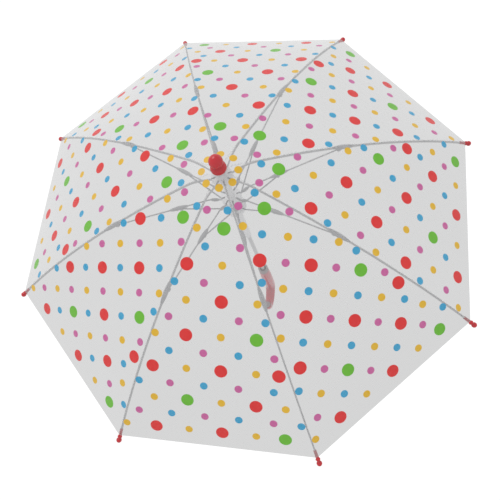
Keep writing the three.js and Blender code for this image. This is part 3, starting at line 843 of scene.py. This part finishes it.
def add_bend(add, geometry, slope, arc, lift):
    """Nodes that bend a flat gore, drawn as (sideways, down from the crown), round its arc."""
    def maths(operation, *feeds):
        return add("ShaderNodeMath", dict(enumerate(feeds)), operation=operation)

    split = geometry.id_data.nodes.new("ShaderNodeSeparateXYZ")
    geometry.id_data.links.new(add("GeometryNodeInputPosition"), split.inputs[0])
    turn = maths("ADD", slope, maths("DIVIDE", split.outputs["Y"], arc))
    sine, cosine = maths("SINE", turn), maths("COSINE", turn)
    out = maths("MULTIPLY", arc, maths("SUBTRACT", sine, maths("SINE", slope)))
    down = maths("MULTIPLY", arc, maths("SUBTRACT", cosine, maths("COSINE", slope)))
    out = maths("ADD", out, maths("MULTIPLY", lift, sine))
    down = maths("ADD", down, maths("MULTIPLY", lift, cosine))
    bent = add("ShaderNodeCombineXYZ", {"X": out, "Y": split.outputs["X"], "Z": down})
    moved = add("GeometryNodeSetPosition", {"Geometry": geometry, "Position": bent})
    return add("GeometryNodeFlipFaces", {"Mesh": moved})


bender, given, add = new_tree("film bent round its arc", "Crown slope", "Arc radius", "Lift",
                              ("Material", "Material"))
bent_film = add_bend(add, given["Geometry"], given["Crown slope"], given["Arc radius"], given["Lift"])
end_dressed(bender, add, bent_film, given["Material"])

# Where the film leaves the patch, to a tenth of a millimetre, and its length from there to the rim.
film_start = next(s / 10 for s in range(100, 200) if from_middle(s / 10) >= PATCH * math.cos(HALF_GORE))
film_run = GORE_LENGTH - film_start


def sheet_mesh(side):
    """The flat cut of half a gore as a grid; side is 1 for the right half, seen from outside."""
    points, faces = [], []
    for i in range(ROWS + 1):
        s = film_start + film_run * i / ROWS
        points += [(side * half_width(s) * j / COLUMNS, s, 0) for j in range(COLUMNS + 1)]
    for i in range(ROWS):
        for j in range(COLUMNS):
            a = i * (COLUMNS + 1) + j
            quad = (a, a + 1, a + COLUMNS + 2, a + COLUMNS + 1)
            faces.append(quad if side > 0 else quad[::-1])
    mesh = bpy.data.meshes.new("flat")
    mesh.from_pydata(points, [], faces)
    return mesh


def finished_film(name, mesh, gore, side):
    """A half gore of film or of print as a finished piece, with the rib that it rides."""
    mesh.transform(CROWN @ Matrix.Rotation(math.radians(180 - 360 / ARMS * (gore - 1)), 4, "Z"))
    mesh.shade_smooth()
    mesh.name = name
    made = bpy.data.objects.new(name, mesh)
    scene.collection.objects.link(made)
    made.visible_diffuse = made.visible_shadow = False  # film this thin dims nothing under it
    rib = gore if side > 0 else gore % ARMS + 1
    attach(made, f"rib_{rib}")
    return made, rib


# The slope of the rib's chord, and how far out the rib bows most from that chord.
chord = math.atan2(-rib_height(TIP_RADIUS), TIP_RADIUS)
bow = [(rib_height(r) * math.cos(chord) + r * math.sin(chord), r) for r in range(20, 400, 10)]
bow_r = max(bow)[1]


def gather(obj, rib):
    """Gives the piece a mesh of its own."""
    turn = arm_turn(rib)
    tuple(CROWN @ turn @ Vector((bow_r, 0, rib_height(bow_r))))
    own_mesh(obj)


halves = {}
for gore in range(1, ARMS + 1):
    for side, label in ((1, "right"), (-1, "left")):
        mesh = grown(bender, sheet_mesh(side), crown_slope=CROWN_SLOPE, arc_radius=ARC, lift=0.0,
                     material=film)
        made, rib = finished_film(f"film_{gore}_{label}", mesh, gore, side)
        halves[gore, side] = made
        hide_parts(f"canopy_{rib}")

# --------------------------------------
# Printed dots. Ink in five colours is screen printed on the flat film before
# it is cut. Rows of large dots with small yellow ones alternate with rows of
# small pink and blue ones, and each gore has the same print.
# --------------------------------------
INKS = {letter: finish(f"{name} ink", pale, deep, (0.3, 0.42), grain=0.8, bump=0.02, Alpha=alpha)
        for letter, name, pale, deep, alpha in (
            ("R", "red", (0.585, 0.006, 0.005), (0.54, 0.004, 0.004), 0.985),
            ("G", "green", (0.096, 0.38, 0.003), (0.088, 0.35, 0.002), 0.98),
            ("Y", "yellow", (0.61, 0.36, 0.002), (0.57, 0.335, 0.001), 0.975),
            ("B", "blue", (0.002, 0.265, 0.47), (0.001, 0.245, 0.44), 0.945),
            ("P", "pink", (0.455, 0.072, 0.25), (0.425, 0.066, 0.235), 0.95))}
LARGE_INKS = "RG"  # the two inks of the large dots
LARGE, SMALL = 18.8, 11.3  # across a dot
LARGE_MARGIN, SMALL_MARGIN = 14.0, 7.0  # from a dot's middle to the seam
PITCH = 50.0
FIRST_ROW = 382.0  # down from the crown
FIRST_COLUMN = 12.1
EDGE_COLUMN, EDGE_SHIFT = 2, 8.0  # from this column on, dots are printed this much closer in
LAST_ROW_UP = 5.5  # the ring of dots round the crown stands this much closer to it
PRINT_LIFT = 0.12
PRINT_ROWS = [  # from the rim up: the first dot's column, then the dots' colours from left to right
    (-3, "YRYRYG"), (-2.5, "PBPBPB"), (-2, "YGYRY"), (-2.5, "BPBPB"), (-2, "RYRYR"), (-1.5, "BPBP"),
    (-2, "YRYG"), (-1.5, "PBPB"), (-1, "YRY"), (-1.5, "BPB"), (-1, "RY"), (-0.5, "BP"),
    (-1, "YG"), (-0.5, "PB"), (-0.2, "Y"),
]

printer, given, add = new_tree("printed dots", "Crown slope", "Arc radius", "Lift",
                               *[(f"Ink {letter}", "Material") for letter in INKS])
dot = add("GeometryNodeMeshCircle", {"Vertices": 28, "Radius": 0.5}, fill_type="TRIANGLE_FAN")
across = add("GeometryNodeInputNamedAttribute", {"Name": "across"}, data_type="FLOAT")
dots = add("GeometryNodeInstanceOnPoints", {"Points": given["Geometry"], "Instance": dot, "Scale": across})
dots = add("GeometryNodeRealizeInstances", {"Geometry": dots})
dots = add_bend(add, dots, given["Crown slope"], given["Arc radius"], given["Lift"])
ink_read = add("GeometryNodeInputNamedAttribute", {"Name": "ink"}, data_type="INT")
for number, letter in enumerate(INKS):
    chosen = add("FunctionNodeCompare", {"A": ink_read, "B": number}, data_type="INT", operation="EQUAL")
    dots = add("GeometryNodeSetMaterial", {"Geometry": dots, "Selection": chosen,
                                           "Material": given[f"Ink {letter}"]})
end_tree(printer, dots)

layout = {1: [], -1: []}  # for each side of a gore: (sideways, down, across, ink) of each dot
for row, (column, colours) in enumerate(PRINT_ROWS):
    s = FIRST_ROW - PITCH / 2 * row - (LAST_ROW_UP if row == len(PRINT_ROWS) - 1 else 0.0)
    for letter in colours:
        size, margin = (LARGE, LARGE_MARGIN) if letter in LARGE_INKS else (SMALL, SMALL_MARGIN)
        sideways = FIRST_COLUMN + PITCH * column - (EDGE_SHIFT if column >= EDGE_COLUMN else 0.0)
        limit = half_width(s) - margin
        sideways = min(max(sideways, -limit), limit)
        layout[1 if sideways > 0 else -1].append((sideways, s, size, list(INKS).index(letter)))
        column += 1

for (gore, side), made in halves.items():
    points = bpy.data.meshes.new("points")
    points.from_pydata([(sideways, s, 0) for sideways, s, _, _ in layout[side]], [], [])
    sizes = points.attributes.new("across", "FLOAT", "POINT")
    sizes.data.foreach_set("value", [size for _, _, size, _ in layout[side]])
    inks = points.attributes.new("ink", "INT", "POINT")
    inks.data.foreach_set("value", [ink for _, _, _, ink in layout[side]])
    mesh = grown(printer, points, crown_slope=CROWN_SLOPE, arc_radius=ARC, lift=PRINT_LIFT,
                 **{f"ink_{letter.lower()}": ink for letter, ink in INKS.items()})
    ink_piece, rib = finished_film(made.name.replace("film", "print"), mesh, gore, side)
    gather(made, rib)
    gather(ink_piece, rib)

# --------------------------------------
# Crown patch. The film's middle, eight-sided, is clamped between the finial's
# dome and the top of the notch, and stays with the shaft.
# --------------------------------------
PATCH_RINGS = 5
patch_points, patch_faces = [], []
for i in range(PATCH_RINGS):
    r = BORE + (PATCH - BORE) * i / (PATCH_RINGS - 1)
    z = film_height(r * math.cos(HALF_GORE))
    patch_points += [tuple(arm_turn(k) @ Vector((r, 0, z))) for k in range(1, ARMS + 1)]
for i in range(PATCH_RINGS - 1):
    for k in range(ARMS):
        a, b = i * ARMS + k, i * ARMS + (k + 1) % ARMS
        patch_faces.append((a, b, b + ARMS, a + ARMS))
patch = piece("crown_film", (patch_points, patch_faces), film, "shaft_and_handle", ["crown_patch"])

# --------------------------------------
# Welded seams. Two gores meet over each rib in a narrow weld, pressed with a
# row of fine crimps.
# --------------------------------------
SEAM_HALF, SEAM_START, SEAM_END, CRIMPS = 1.1, PATCH + 1, TIP_RADIUS - 2, 190
seam_film = finish("welded film", (0.3, 0.3, 0.31), (0.26, 0.26, 0.27), (0.26, 0.36), grain=2.0, bump=0.03,
                   Alpha=0.1, IOR=1.48)
SEAM = [(-SEAM_HALF, -0.05), (-SEAM_HALF + 0.3, 0.12), (0.0, 0.18), (SEAM_HALF - 0.3, 0.12),
        (SEAM_HALF, -0.05)]
seam_path = []
for i in range(CRIMPS + 1):
    r = SEAM_START + (SEAM_END - SEAM_START) * i / CRIMPS
    seam_path.append((r, rib_height(r, -0.1 if i % 2 else -0.02)))
one_seam = strip_along(seam_path, SEAM, seam_film)
for k in range(1, ARMS + 1):
    weld = piece(f"seam_{k}_weld", placed(one_seam, arm_turn(k)), seam_film, f"rib_{k}")
    weld.visible_diffuse = weld.visible_shadow = False
